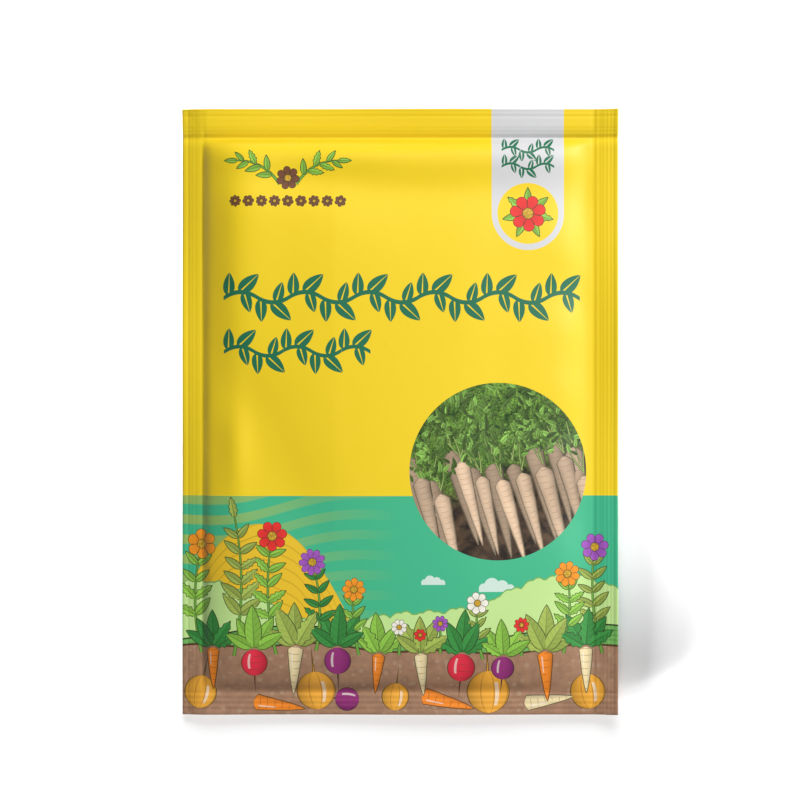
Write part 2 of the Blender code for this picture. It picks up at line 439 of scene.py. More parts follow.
def swell_on(cloth, columns, rows):
    """The cloth's heights read on a finer grid, and 0 out on the seals."""
    cloth_columns, cloth_rows, heights = cloth
    across = cubic_weights(columns, cloth_columns)
    along = cubic_weights(rows, cloth_rows)
    swell = along @ smoothed(heights.copy(), 2) @ across.T
    out = (columns < cloth_columns[0]) | (columns > cloth_columns[-1])
    swell[:, out] = 0.0
    out = (rows < cloth_rows[0]) | (rows > cloth_rows[-1])
    swell[out, :] = 0.0
    return swell


def front_heights(sizes, columns, rows):
    """Heights of the front film's outer side on a grid."""
    across, along = columns[None, :], rows[:, None]
    cloth = blow_up(sizes, "front_cloth", front_start, *FRONT_CLOTH)
    folds = fold_depth(across, along, FRONT_FOLDS)
    folds = folds * swollen(sizes, across, along, FOLD_SHOULDERS)
    heights = seal_relief(sizes, across, along) + WELD_GAP / 2 + sizes.film
    heights = heights + drawn_tight(swell_on(cloth, columns, rows), across) - folds
    return heights + turn_up(sizes, across, along)


def back_heights(sizes, columns, rows):
    """Heights of the back film's outer side on a grid, 0 where the packet rests."""
    across, along = columns[None, :], rows[:, None]
    cloth = blow_up(sizes, "back_cloth", back_start, *BACK_CLOTH)
    swell = pressed_flat(swell_on(cloth, columns, rows), sizes.back_swell)
    heights = seal_relief(sizes, across, along) - swell
    return np.maximum(heights - WELD_GAP / 2 - sizes.film, 0.0)


# The print's drawings, in millimetres from the packet's lower left corner

BAND_TOP = 50.35
TAB_LEFT, TAB_RIGHT, TAB_END = 71.0, 87.6, 106.6
DISC_CENTRE, DISC_RADIUS = (79.3, 115.0), 7.0
PANEL_CENTRE, PANEL_RADIUS = (72.45, 55.9), 20.3
SOIL_TOP = 15.5
LINE_WIDTH = 0.20  # of the dark lines round the drawings
HILL_LINE, BED_LINE = 0.16, 0.22  # half widths
DRAWING_DRAW = 11

# Kinds of each drawing: a number picks its inks in the node groups
FRESH_LEAF, DEEP_LEAF, OLIVE_LEAF, VINE_LEAF, PANEL_LEAF = range(5)
CARROT, PALE_ROOT, BEET, RADISH, ONION, PANEL_ROOT = range(6)
ROUND_ROOTS = (BEET, RADISH, ONION)
ORANGE_BLOOM, RED_BLOOM, PURPLE_BLOOM, WHITE_BLOOM, BROWN_BLOOM = range(5)
GREEN_STEM, VINE_STEM, PANEL_STEM = range(3)
STRAIGHT = 0.5  # a stem's chance value, from bowed one way at 0 to the other at 1
CHANCE_SPAN = 0.98  # share of the gap between two kinds that the chance value takes up
KIND_SLACK = 0.001  # how far under its number a stored kind may come out
ROUND_RADIUS = 0.29  # of a round root, as a share of its size
HEART_RADIUS = 0.30  # of a bloom's heart, as a share of its size

# The garden's crops from left to right, and the kinds of their leaves in turn
CROPS = (CARROT, RADISH, PALE_ROOT, BEET, CARROT, PALE_ROOT, RADISH, BEET, CARROT, PALE_ROOT)
CROP_LEAVES = (DEEP_LEAF, FRESH_LEAF, OLIVE_LEAF)
FIRST_CROP, CROP_STEP = 7.2, 9.5
SHORT_CROP, LONG_CROP = 9.6, 11.0
# Roots that lie deeper in the bed: x, y, turn in degrees, size and kind
DEEP_ROOTS = (
    (3.4, 1.6, 78, 13.0, ONION),
    (16.4, 3.0, -8, 12.0, CARROT),
    (31.2, 1.2, 96, 15.5, ONION),
    (40.6, 3.4, 176, 9.5, BEET),
    (48.6, 1.0, 84, 11.0, ONION),
    (55.0, 4.4, -14, 12.5, CARROT),
    (70.4, 0.4, 92, 17.0, ONION),
    (78.6, 2.6, 8, 11.5, PALE_ROOT),
    (93.8, 1.4, 100, 14.0, ONION),
)
# Tall plants: x, height, bow, size and kind of the leaves, and bloom
SPRIGS = (
    (4.2, 24.0, 0.06, 5.6, FRESH_LEAF, ORANGE_BLOOM),
    (12.3, 30.5, -0.05, 6.0, OLIVE_LEAF, None),
    (21.5, 26.0, 0.05, 5.6, FRESH_LEAF, RED_BLOOM),
    (31.0, 19.5, -0.06, 5.0, DEEP_LEAF, PURPLE_BLOOM),
    (40.5, 14.5, 0.04, 4.4, FRESH_LEAF, ORANGE_BLOOM),
    (68.8, 12.5, 0.05, 4.2, OLIVE_LEAF, WHITE_BLOOM),
    (87.6, 17.5, -0.05, 4.8, FRESH_LEAF, ORANGE_BLOOM),
    (96.2, 23.5, 0.05, 5.2, OLIVE_LEAF, PURPLE_BLOOM),
)
# Small blooms on bare stems: x, y, size and kind
SMALL_BLOOMS = (
    (49.8, 20.4, 1.9, WHITE_BLOOM),
    (54.6, 18.6, 1.5, RED_BLOOM),
    (59.2, 21.2, 1.9, PURPLE_BLOOM),
    (77.8, 20.8, 1.8, RED_BLOOM),
)
# Vines: left, right, middle line and size of the leaves
VINES = ((10.0, 91.0, 95.7, 6.0), (10.0, 43.0, 83.4, 5.6))
TAB_VINES = ((73.4, 85.2, 129.6, 2.9), (73.4, 85.2, 125.8, 2.9))
# Leaves along a vine's arc: share of the way, spread in degrees and share of the size
VINE_LEAVES = ((0.12, 62, 0.86), (0.46, 40, 1.0), (0.60, -66, 0.80))
# Leaves along each of the emblem's branches: share of the way, spread and size
EMBLEM_LEAVES = (
    (0.20, 48, 3.8),
    (0.32, -46, 3.8),
    (0.50, 46, 3.9),
    (0.62, -44, 3.7),
    (0.78, 42, 3.3),
    (0.88, -40, 3.0),
    (1.0, 0, 3.2),
)
EMBLEM_PLACE = (24.4, 121.6)
PANEL_ROOTS, PANEL_ROOT_STEP = 20, 2.35
PANEL_LOOSE_LEAVES = 260
# Clouds over the garden: middle and size. Their puffs: place and radius
CLOUDS = ((57.5, 30.6, 0.52), (72.0, 29.2, 0.78), (83.5, 27.4, 0.45))
PUFFS = ((-3.6, 0.0, 1.5), (-1.3, 0.9, 2.2), (1.7, 0.5, 1.9), (4.1, -0.1, 1.3))

# The back's ruled panel, in the same millimetres
BACK_MIDDLE, BACK_HALF, BACK_CORNER = (50.0, 74.0), (37.0, 53.0), 4.0
OUTLINE_IN, OUTLINE_HALF = 1.6, 0.22
RULE_STEP, RULE_SHARE, RULE_HALF = 7.0, 0.045, 31.0
RULES_FROM, RULES_TO = 34.0, 118.0

# Painted shade in the crease under the top seal: down from the top edge, and across
CREASE_SHADE_START, CREASE_SHADE_FULL, CREASE_SHADE_END = 4.0, 6.2, 6.5
CREASE_SHADE_LEFT, CREASE_SHADE_RIGHT = 5.0, 94.5
CREASE_SHADE_FACTOR, CREASE_SHADE_SHARE = 0.76, 0.9


class Drawing(NamedTuple):
    """One leaf, stem, root or bloom: its foot, turn, size, kind and a chance value.

    A bloom's foot is its middle and its size its radius. The others run from the
    foot along their turn for their size.
    """

    x: float
    y: float
    turn: float
    size: float
    kind: int
    chance: float


class Layers:
    """The drawings of the print, in the layers that the film carries them in."""

    def __init__(self):
        self.stems = []
        self.low_leaves = []
        self.high_leaves = []
        self.back_roots = []
        self.roots = []
        self.blooms = []
        self.draw = np.random.default_rng(DRAWING_DRAW)

    def chance(self, low=0.0, high=1.0):
        return float(self.draw.uniform(low, high))

    def leaf(self, x, y, turn, size, kind):
        """A leaf, in whichever leaf layer has fewer so far."""
        fewer = min(self.low_leaves, self.high_leaves, key=len)
        fewer.append(Drawing(x, y, turn, size, kind, self.chance()))

    def stem(self, x, y, turn, size, kind, bow=0.0):
        """A stem, bowed by that share of its length. Returns a function along it."""
        self.stems.append(Drawing(x, y, turn, size, kind, STRAIGHT + bow))

        def along(share):
            aside = 4 * bow * share * (1 - share) * size
            reach = share * size
            heading = turn + math.atan(4 * bow * (1 - 2 * share))
            place_x = x + reach * math.cos(turn) - aside * math.sin(turn)
            place_y = y + reach * math.sin(turn) + aside * math.cos(turn)
            return place_x, place_y, heading

        return along

    def root(self, x, y, turn, size, kind):
        self.roots.append(Drawing(x, y, turn, size, kind, self.chance(0.3, 1.0)))

    def back_root(self, x, y, turn, size, kind):
        """A root that lies behind the others, and darker."""
        self.back_roots.append(Drawing(x, y, turn, size, kind, self.chance(0.0, 0.25)))

    def bloom(self, x, y, size, kind):
        self.blooms.append(Drawing(x, y, self.chance(0, 1.2), size, kind, self.chance()))


def soil_line(x, sine=math.sin):
    """Height of the bed's edge at x, which is a number, or a term with its own sine."""
    return SOIL_TOP + 1.0 * sine(x / 14.0) + 0.5 * sine(x / 4.6 + 1.0)


def draw_sprig(layers, x, height, bow, leaf_size, kind, bloom):
    """A tall plant: a bowed stem with pairs of leaves, and a bloom or leaf on top."""
    foot = soil_line(x) - 1.0
    turn = math.radians(90) + layers.chance(-0.12, 0.12)
    along = layers.stem(x, foot, turn, height, GREEN_STEM, bow)
    pairs = round(height / (0.78 * leaf_size))
    for pair in range(1, pairs):
        share = 0.16 + 0.80 * pair / pairs
        place_x, place_y, heading = along(share)
        size = leaf_size * (1.12 - 0.5 * share) * layers.chance(0.9, 1.1)
        for side in (-1, 1):
            spread = side * math.radians(52 + layers.chance(-8, 12))
            layers.leaf(place_x, place_y, heading + spread, size, kind)
    top_x, top_y, heading = along(1.0)
    if bloom is None:
        layers.leaf(top_x, top_y, heading, leaf_size * 0.8, kind)
    else:
        layers.bloom(top_x, top_y, leaf_size * 0.62, bloom)


def draw_crop(layers, x, kind, size, leaf_kind):
    """A root crop in the bed, with a fan of leaves over it."""
    crown = soil_line(x) - 0.6
    turn = math.radians(-90) + layers.chance(-0.10, 0.10)
    layers.root(x, crown, turn, size, kind)
    for number in range(-2, 3):
        fan = math.radians(29 * number) + layers.chance(-0.08, 0.08)
        reach = size * (0.92 - 0.11 * abs(number)) * layers.chance(0.85, 1.05)
        foot_x = x - 0.7 * math.sin(fan)
        layers.leaf(foot_x, crown + 0.4, math.radians(90) + fan, reach, leaf_kind)


def draw_garden(layers):
    for number, kind in enumerate(CROPS):
        size = SHORT_CROP if kind in ROUND_ROOTS else LONG_CROP
        size = size * layers.chance(0.85, 1.15)
        leaf_kind = CROP_LEAVES[number % len(CROP_LEAVES)]
        draw_crop(layers, FIRST_CROP + CROP_STEP * number, kind, size, leaf_kind)
    for x, y, turn, size, kind in DEEP_ROOTS:
        layers.back_root(x, y, math.radians(turn), size, kind)
    for sprig in SPRIGS:
        draw_sprig(layers, *sprig)
    for x, y, size, kind in SMALL_BLOOMS:
        foot = soil_line(x) - 0.5
        layers.stem(x, foot, math.radians(90), y - foot, GREEN_STEM)
        layers.bloom(x, y, size, kind)


def draw_vine(layers, left, right, middle, leaf_size):
    """A line of ornament: a waving stem with a leaf on every rise and fall."""
    arcs = round((right - left) / (1.25 * leaf_size))
    step = (right - left) / arcs
    for number in range(arcs):
        up = 1 if number % 2 == 0 else -1
        along = layers.stem(left + step * number, middle, 0.0, step, VINE_STEM, 0.16 * up)
        for share, spread, size in VINE_LEAVES:
            x, y, heading = along(share)
            layers.leaf(x, y, heading + up * math.radians(spread), leaf_size * size, VINE_LEAF)


def draw_emblem(layers):
    """Two leafy branches that spread from a brown bloom, over a row of small ones."""
    x, y = EMBLEM_PLACE
    for side in (-1, 1):
        foot_x = x + 2.2 * side
        turn = math.radians(90 - 62 * side)
        along = layers.stem(foot_x, y + 0.4, turn, 10.5, GREEN_STEM, 0.13 * side)
        for share, spread, size in EMBLEM_LEAVES:
            leaf_x, leaf_y, heading = along(share)
            layers.leaf(leaf_x, leaf_y, heading + math.radians(spread), size, FRESH_LEAF)
    layers.bloom(x, y + 1.4, 2.7, BROWN_BLOOM)
    for number in range(-4, 5):
        layers.bloom(x + 3.0 * number, y - 3.9, 1.35, BROWN_BLOOM)


def draw_panel(layers):
    """Slender pale roots leaning side by side in the round panel, under their greens."""
    middle_x, middle_y = PANEL_CENTRE
    for number in range(PANEL_ROOTS):
        slant = math.radians(-76) + layers.chance(-0.045, 0.045)
        x = middle_x - 25.0 + PANEL_ROOT_STEP * number + layers.chance(-0.2, 0.2)
        y = middle_y + 1.0 + 0.16 * (x - middle_x) + layers.chance(-4.0, 4.5)
        if number % 2:
            layers.root(x, y - 1.5, slant, layers.chance(18.0, 23.0), PANEL_ROOT)
        else:
            layers.back_root(x, y + 3.0, slant, layers.chance(19.0, 24.0), PANEL_ROOT)
            y = y + 4.5
        for _ in range(3):
            lean = math.radians(106) + layers.chance(-0.45, 0.45)
            bow = layers.chance(-0.10, 0.10)
            along = layers.stem(x, y - 0.4, lean, layers.chance(6.0, 11.0), PANEL_STEM, bow)
            for share in (0.55, 0.80, 1.0):
                leaf_x, leaf_y, heading = along(share)
                turn = heading + layers.chance(-1.0, 1.0)
                layers.leaf(leaf_x, leaf_y, turn, layers.chance(1.7, 2.8), PANEL_LEAF)
    for _ in range(PANEL_LOOSE_LEAVES):
        x = middle_x + layers.chance(-20.0, 20.0)
        y = middle_y + 0.25 * (x - middle_x) + layers.chance(1.0, 20.0)
        layers.leaf(x, y, layers.chance(0.2, 2.9), layers.chance(1.5, 2.8), PANEL_LEAF)


def draw_badge(layers):
    """A red bloom between leaves on the tab's disc, and two small vines over it."""
    x, y = DISC_CENTRE
    for turn in (90, 141, 193, 244, 296, 347, 39):
        heading = math.radians(turn)
        foot_x, foot_y = x + 1.4 * math.cos(heading), y + 1.4 * math.sin(heading)
        layers.leaf(foot_x, foot_y, heading, 4.7, FRESH_LEAF)
    layers.bloom(x, y, 4.2, RED_BLOOM)
    for vine in TAB_VINES:
        draw_vine(layers, *vine)


def draw_front():
    layers = Layers()
    draw_garden(layers)
    draw_panel(layers)
    draw_badge(layers)
    for vine in VINES:
        draw_vine(layers, *vine)
    draw_emblem(layers)
    return layers


def beyond_ends(along):
    return np.abs(along - np.clip(along, 0.0, 1.0))


def leaf_fit(leaf, along, aside):
    """About how far inside a leaf a point is, in millimetres. Outside it is under 0."""
    inside = np.clip(along, 0.0, 1.0)
    width = 0.5 * np.sqrt(inside) * (1 - inside) ** 0.85
    return (width - np.abs(aside) - beyond_ends(along)) * leaf.size


def root_fit(root, along, aside):
    if root.kind in ROUND_ROOTS:
        ball = ROUND_RADIUS - np.hypot(along - ROUND_RADIUS, aside)
        tail = 0.03 - np.abs(aside) - beyond_ends(along)
        return np.maximum(ball, tail) * root.size
    width = 0.17 * (1 - np.clip(along, 0.0, 1.0)) ** 0.6
    return (width - np.abs(aside) - beyond_ends(along)) * root.size


def bloom_fit(bloom, along, aside):
    return (1.0 - np.hypot(along, aside)) * bloom.size


def stem_fit(stem, along, aside):
    middle = 4 * (stem.chance - STRAIGHT) * along * (1 - along)
    return (0.02 - np.abs(aside - middle) * 0.5 - beyond_ends(along)) * stem.size


OFF_THE_DRAWING = 9.0  # a place along and aside that lies outside every drawing
FIT_REACH = -3.0  # a face further out than this in millimetres belongs to no drawing


def print_middle(sizes):
    """The packet's middle, in the print's millimetres."""
    return sizes.width / 2 / MM, sizes.height / 2 / MM


def lay_drawings(film, sizes, name, drawings, fit):
    """Stores, for each corner of each face, its place on the drawing nearest to it.

    The stored colour holds the place along and aside in the drawing's own size, that
    size, and the drawing's kind with its chance value as the fraction.
    """
    mesh = film.data
    places = vertex_places(mesh)[:, :2] / MM + print_middle(sizes)
    corner_vertex = np.zeros(len(mesh.loops), int)
    mesh.loops.foreach_get("vertex_index", corner_vertex)
    corners = places[corner_vertex].reshape(-1, 4, 2)
    centres = corners.mean(axis=1)
    best = np.full(len(centres), FIT_REACH)
    chosen = np.full(len(centres), -1)
    for number, drawing in enumerate(drawings):
        x, y, turn, size = drawing[:4]
        near = np.nonzero(np.hypot(centres[:, 0] - x, centres[:, 1] - y) < size * 1.1 + 2.0)[0]
        away = centres[near] - (x, y)
        along = (away[:, 0] * math.cos(turn) + away[:, 1] * math.sin(turn)) / size
        aside = (away[:, 1] * math.cos(turn) - away[:, 0] * math.sin(turn)) / size
        value = fit(drawing, along, aside)
        better = value > best[near]
        best[near[better]] = value[better]
        chosen[near[better]] = number
    x, y, turn, size, kind, chance = np.array(drawings)[chosen].T[:, :, None]
    away_x, away_y = corners[:, :, 0] - x, corners[:, :, 1] - y
    stored = np.empty((len(centres), 4, 4), np.float32)
    stored[:, :, 0] = (away_x * np.cos(turn) + away_y * np.sin(turn)) / size
    stored[:, :, 1] = (away_y * np.cos(turn) - away_x * np.sin(turn)) / size
    stored[:, :, 2] = size
    stored[:, :, 3] = kind + CHANCE_SPAN * chance
    stored[chosen < 0, :, :2] = OFF_THE_DRAWING
    attribute = mesh.attributes.new(name, "FLOAT_COLOR", "CORNER")
    attribute.data.foreach_set("color", stored.ravel())


# Arithmetic on a node tree's sockets


def feed(tree, socket, value):
    """Links a term to a socket, or sets a plain value on it."""
    if isinstance(value, Term):
        tree.links.new(value.output, socket)
    else:
        socket.default_value = value


def calculate(tree, operation, *values):
    node = tree.nodes.new("ShaderNodeMath")
    node.operation = operation
    for socket, value in zip(node.inputs, values):
        feed(tree, socket, value)
    return Term(tree, node.outputs[0])


def with_other(operation):
    """A method that calculates from the term and another value."""
    return lambda self, other: calculate(self.tree, operation, self, other)


def alone(operation):
    """A method that calculates from the term by itself."""
    return lambda self: calculate(self.tree, operation, self)


class Term:
    """A node's output, with arithmetic that adds Math nodes to its tree."""

    def __init__(self, tree, output):
        self.tree = tree
        self.output = output

    __add__ = __radd__ = with_other("ADD")
    __mul__ = __rmul__ = with_other("MULTIPLY")
    __sub__ = with_other("SUBTRACT")
    __truediv__ = with_other("DIVIDE")
    __pow__ = with_other("POWER")
    __gt__ = with_other("GREATER_THAN")
    __lt__ = with_other("LESS_THAN")
    lowest = with_other("MINIMUM")
    highest = with_other("MAXIMUM")
    __abs__ = alone("ABSOLUTE")
    floor = alone("FLOOR")
    fraction = alone("FRACT")
    sine = alone("SINE")

    def __rsub__(self, other):
        return calculate(self.tree, "SUBTRACT", other, self)

    def root(self):
        return calculate(self.tree, "SQRT", self.highest(0.0))

    def shared(self):
        """Held between 0 and 1."""
        return self.lowest(1.0).highest(0.0)

    def between(self, low, high):
        """1 where the value lies between the two, and 0 elsewhere."""
        return (self > low) * (self < high)

    def step_from(self, low, high):
        """Rises evenly from 0 at the low value to 1 at the high one."""
        return ((self - low) / (high - low)).shared()


def hypotenuse(across, up):
    return (across * across + up * up).root()


def start_group(name, inputs, outputs):
    """A new node group with these named sockets. Returns it and its inputs as terms."""
    group = bpy.data.node_groups.new(name, "ShaderNodeTree")
    for kind, socket in inputs:
        group.interface.new_socket(socket, in_out="INPUT", socket_type="NodeSocket" + kind)
    for kind, socket in outputs:
        group.interface.new_socket(socket, in_out="OUTPUT", socket_type="NodeSocket" + kind)
    entry = group.nodes.new("NodeGroupInput")
    return group, [Term(group, entry.outputs[socket]) for _, socket in inputs]


def end_group(group, *values):
    exit_node = group.nodes.new("NodeGroupOutput")
    for socket, value in zip(exit_node.inputs, values):
        feed(group, socket, value)
    return group


def use_group(tree, group, *values):
    node = tree.nodes.new("ShaderNodeGroup")
    node.node_tree = group
    for socket, value in zip(node.inputs, values):
        feed(tree, socket, value)
    return [Term(tree, output) for output in node.outputs]


def mix(tree, share, under, over):
    """One colour laid over another by a share from 0 to 1."""
    node = tree.nodes.new("ShaderNodeMix")
    node.data_type = "RGBA"
    feed(tree, node.inputs[0], share)
    for socket, colour in ((node.inputs[6], under), (node.inputs[7], over)):
        feed(tree, socket, colour if isinstance(colour, Term) else (*colour, 1.0))
    return Term(tree, node.outputs[2])


def shade(tree, colour, amount):
    """A colour made lighter or darker by a factor that changes over the surface."""
    node = tree.nodes.new("ShaderNodeVectorMath")
    node.operation = "SCALE"
    feed(tree, node.inputs[0], colour)
    feed(tree, node.inputs["Scale"], amount)
    return Term(tree, node.outputs[0])


def pick(tree, kind, colours):
    """The colour whose number is the whole part of kind."""
    ramp = tree.nodes.new("ShaderNodeValToRGB")
    ramp.color_ramp.interpolation = "CONSTANT"
    stops = ramp.color_ramp.elements
    while len(stops) < len(colours):
        stops.new(1.0)
    for number, colour in enumerate(colours):
        stops[number].position = number / len(colours)
        stops[number].color = (*colour, 1.0)
    feed(tree, ramp.inputs[0], (kind.floor() + 0.5) / len(colours))
    return Term(tree, ramp.outputs[0])


def split(tree, vector):
    node = tree.nodes.new("ShaderNodeSeparateXYZ")
    feed(tree, node.inputs[0], vector)
    return [Term(tree, output) for output in node.outputs]


def noise(tree, place, scale, detail=2.0, rough=0.5, distortion=0.0):
    node = tree.nodes.new("ShaderNodeTexNoise")
    feed(tree, node.inputs["Vector"], place)
    node.inputs["Scale"].default_value = scale
    node.inputs["Detail"].default_value = detail
    node.inputs["Roughness"].default_value = rough
    node.inputs["Distortion"].default_value = distortion
    return Term(tree, node.outputs["Fac"])


def cells(tree, place, scale):
    """Distance to the nearest of many scattered points."""
    node = tree.nodes.new("ShaderNodeTexVoronoi")
    feed(tree, node.inputs["Vector"], place)
    node.inputs["Scale"].default_value = scale
    return Term(tree, node.outputs["Distance"])


# Ink groups: each turns a place on a drawing into a mask and a colour

PLACE_INPUT = (("Vector", "Place"),)
DRAWING_INPUTS = (("Vector", "Place"), ("Float", "Kind"), ("Float", "Window"))
INK_OUTPUTS = (("Float", "Mask"), ("Color", "Colour"))
LARGE_LEAF = 3.4  # smaller ones have no lobes and veins


def from_kind(kind, first):
    """1 for the drawings of the first kind and of those after it."""
    return kind > first - KIND_SLACK


def in_window(kind, panel_kind, window):
    """1 for a panel drawing inside the round panel, and for any other outside it."""
    return abs(from_kind(kind, panel_kind) - window) < 0.5


def leaf_group(inks):
    group, (place, kind, window) = start_group("leaf_ink", DRAWING_INPUTS, INK_OUTPUTS)
    along, aside, size = split(group, place)
    chance = kind.fraction()
    inside = along.shared()
    vine = from_kind(kind, VINE_LEAF) * (kind < PANEL_LEAF)
    large = size > LARGE_LEAF
    lobes = 1.0 + (chance > 0.62) * (1.0 - vine) * large * 0.16 * (inside * 26.0).sine()
    width = (0.5 + 0.14 * vine) * inside.root() * (1.0 - inside) ** 0.85 * lobes
    edge = (width - abs(aside)) * size
    outlined = kind < VINE_LEAF
    rib = abs(aside) * size < (0.17 * (1.15 - inside))
    vein = ((inside - abs(aside) * 0.9) * 6.5).fraction() < 0.13
    vein = vein * (abs(aside) * size > 0.25) * large
    colours = (
        (0.27, 0.55, 0.07),
        (0.045, 0.27, 0.055),
        (0.36, 0.47, 0.09),
        inks.title,
        (0.155, 0.30, 0.055),
    )
    colour = pick(group, kind, colours)
    light = 0.86 + 0.26 * (aside > 0.0) + 0.20 * chance - 0.28 * vein * outlined
    light = light * (1.0 - 0.42 * rib * (1.0 - vine))
    panel = from_kind(kind, PANEL_LEAF)
    light = light * (1.0 + panel * (1.55 * chance * chance - 0.62))
    light = light * (1.0 - vine) + vine
    colour = shade(group, colour, light)
    line = (edge < LINE_WIDTH) * outlined
    colour = mix(group, line * 0.85, colour, inks.line)
    mask = (edge > 0.0) * (1.0 - rib * vine) * in_window(kind, PANEL_LEAF, window)
    return end_group(group, mask, colour)


def stem_group(inks):
    group, (place, kind, window) = start_group("stem_ink", DRAWING_INPUTS, INK_OUTPUTS)
    along, aside, size = split(group, place)
    bow = (kind.fraction() / CHANCE_SPAN - STRAIGHT) * 4.0
    middle = bow * along * (1.0 - along)
    vine = from_kind(kind, VINE_STEM) * (kind < PANEL_STEM)
    plain = 0.40 - 0.18 * along - 0.12 * from_kind(kind, PANEL_STEM)
    half_width = plain + vine * (0.068 * size - plain)
    edge = half_width - abs(aside - middle) * size
    colour = pick(group, kind, ((0.18, 0.42, 0.06), inks.title, (0.34, 0.47, 0.13)))
    line = (edge < 0.13) * (1.0 - vine)
    colour = mix(group, line * 0.8, colour, inks.line)
    mask = (edge > 0.0) * along.between(-0.04, 1.04) * in_window(kind, PANEL_STEM, window)
    return end_group(group, mask, colour)


def root_group(inks):
    group, (place, kind, window) = start_group("root_ink", DRAWING_INPUTS, INK_OUTPUTS)
    along, aside, size = split(group, place)
    chance = kind.fraction()
    inside = along.shared()
    panel = from_kind(kind, PANEL_ROOT)
    round_kind = from_kind(kind, BEET) * (kind < PANEL_ROOT)
    wobble = noise(group, place, 5.0, 3.0)
    slim = (0.165 - 0.062 * panel) * (1.0 - inside) ** 0.62 * (inside * 16.0).lowest(1.0).root()
    slim = slim * (0.93 + 0.14 * wobble)
    from_middle = inside - ROUND_RADIUS
    ball = (ROUND_RADIUS**2 - from_middle * from_middle).root()
    ball = ball.highest(0.045 * (1.0 - inside))
    width = slim + (ball - slim) * round_kind
    edge = (width - abs(aside)) * size
    colours = (
        (0.95, 0.27, 0.025),
        (0.90, 0.74, 0.42),
        (0.32, 0.035, 0.20),
        (0.80, 0.035, 0.07),
        (0.88, 0.42, 0.05),
        (0.78, 0.56, 0.38),
    )
    colour = pick(group, kind, colours)
    across = aside / width.highest(0.001)
    light = 1.10 - 0.34 * (across + 0.25) * (across + 0.25)
    light = light - panel * (0.34 * across * across + 0.45 * (1.0 - wobble) - 0.28)
    light = light * (1.0 + panel * (0.75 * chance - 0.55))
    colour = shade(group, colour, light.highest(0.05))
    ring = ((inside + 0.02 * across * across) * (7.0 + 9.0 * panel) + chance).fraction() < 0.10
    onion = from_kind(kind, ONION) * (kind < PANEL_ROOT)
    ring = ring * (1.0 - onion)
    short = abs(across + 0.9 * (wobble - 0.5) * 4.0) < 0.55
    colour = mix(group, ring * short * (0.55 - 0.15 * panel), colour, (0.16, 0.065, 0.02))
    skin = (across * 1.6 + 0.5).fraction() < 0.09
    colour = mix(group, skin * onion * 0.5, colour, (0.30, 0.10, 0.01))
    glint = abs(across + 0.42) < 0.09
    glint = glint * inside.between(0.10, 0.42) * (1.0 - panel)
    colour = mix(group, glint * 0.55, colour, (1.0, 0.95, 0.85))
    line = (edge < LINE_WIDTH) * (1.0 - panel) + (edge < 0.28) * panel * 0.55
    colour = mix(group, line * 0.85, colour, inks.line)
    mask = (edge > 0.0) * (along > 0.0) * in_window(kind, PANEL_ROOT, window)
    return end_group(group, mask, colour)


def bloom_group(inks):
    group, (place, kind, window) = start_group("bloom_ink", DRAWING_INPUTS, INK_OUTPUTS)
    along, aside, size = split(group, place)
    chance = kind.fraction()
    reach = hypotenuse(along, aside)
    around = calculate(group, "ARCTAN2", aside, along)
    petals = (chance * 4.0).floor() + 6.0
    wave = abs(calculate(group, "COSINE", around * petals * 0.5))
    rim = 0.70 + 0.30 * wave**0.6
    edge = (rim - reach) * size
    colours = (
        (0.95, 0.33, 0.02),
        (0.82, 0.035, 0.03),
        (0.38, 0.10, 0.52),
        (0.93, 0.90, 0.78),
        (0.19, 0.075, 0.035),
    )
    colour = shade(group, pick(group, kind, colours), 0.80 + 0.34 * reach)
    heart = reach < HEART_RADIUS
    seeds = cells(group, place, 9.0)
    heart_colour = shade(group, (0.85, 0.50, 0.04), 1.15 - 0.8 * seeds)
    colour = mix(group, heart, colour, heart_colour)
    parted = (wave < 0.16) * (reach > HEART_RADIUS)
    ringed = abs(reach - HEART_RADIUS) * size < 0.09
    line = ((edge < LINE_WIDTH * 0.8) + parted + ringed).shared()
    colour = mix(group, line * 0.8, colour, inks.line)
    return end_group(group, (edge > 0.0) * (1.0 - window), colour)


def lay_clouds(tree, x, y, colour):
    """Flat-bottomed clouds, each of a few round puffs."""
    for cloud_x, cloud_y, cloud_size in CLOUDS:
        cover = 0.0
        for puff_x, puff_y, puff in PUFFS:
            away_x = x - (cloud_x + puff_x * cloud_size)
            away_y = (y - (cloud_y + puff_y * cloud_size)).highest(0.0)
            near = away_x * away_x + away_y * away_y < (puff * cloud_size) ** 2
            cover = near + cover
        cover = cover.shared() * (y > cloud_y - cloud_size)
        colour = mix(tree, cover * 0.80, colour, (0.86, 0.95, 0.90))
    return colour


def lay_hills(tree, x, y, colour, inks):
    """A golden hill, a far hill with its trees, and the furrowed near field."""
    dome = 44.0 - 0.052 * (x - 18.0) * (x - 18.0)
    rows = ((dome - y + 0.25 * (x / 1.3).sine()) / 2.7).fraction() < 0.16
    colour = mix(tree, y < dome, colour, shade(tree, inks.gold, 1.0 - 0.20 * rows))
    far_hill = 25.5 + 4.6 * (x / 15.0 + 1.9).sine() + 1.3 * (x / 6.1).sine()
    far_hill = far_hill + 0.9 * abs((x / 1.9).sine()) + 0.4 * abs((x / 0.8).sine())
    colour = mix(tree, y < far_hill, colour, inks.hill)
    colour = mix(tree, abs(y - far_hill) < HILL_LINE, colour, (0.20, 0.47, 0.12))
    near_hill = 18.8 + 2.0 * (x / 11.0 - 0.8).sine()
    colour = mix(tree, y < near_hill, colour, inks.field)
    furrow = ((near_hill - y) * 0.9 + 0.05 * (x / 3.0).sine()).fraction() < 0.30
    colour = mix(tree, furrow * (y < near_hill) * 0.55, colour, (0.085, 0.30, 0.06))
    return mix(tree, abs(y - near_hill) < HILL_LINE, colour, inks.line)


def soil_ink(tree, place, inks):
    return shade(tree, inks.soil, 0.62 + 0.76 * noise(tree, place, 0.55, 4.0, 0.62))


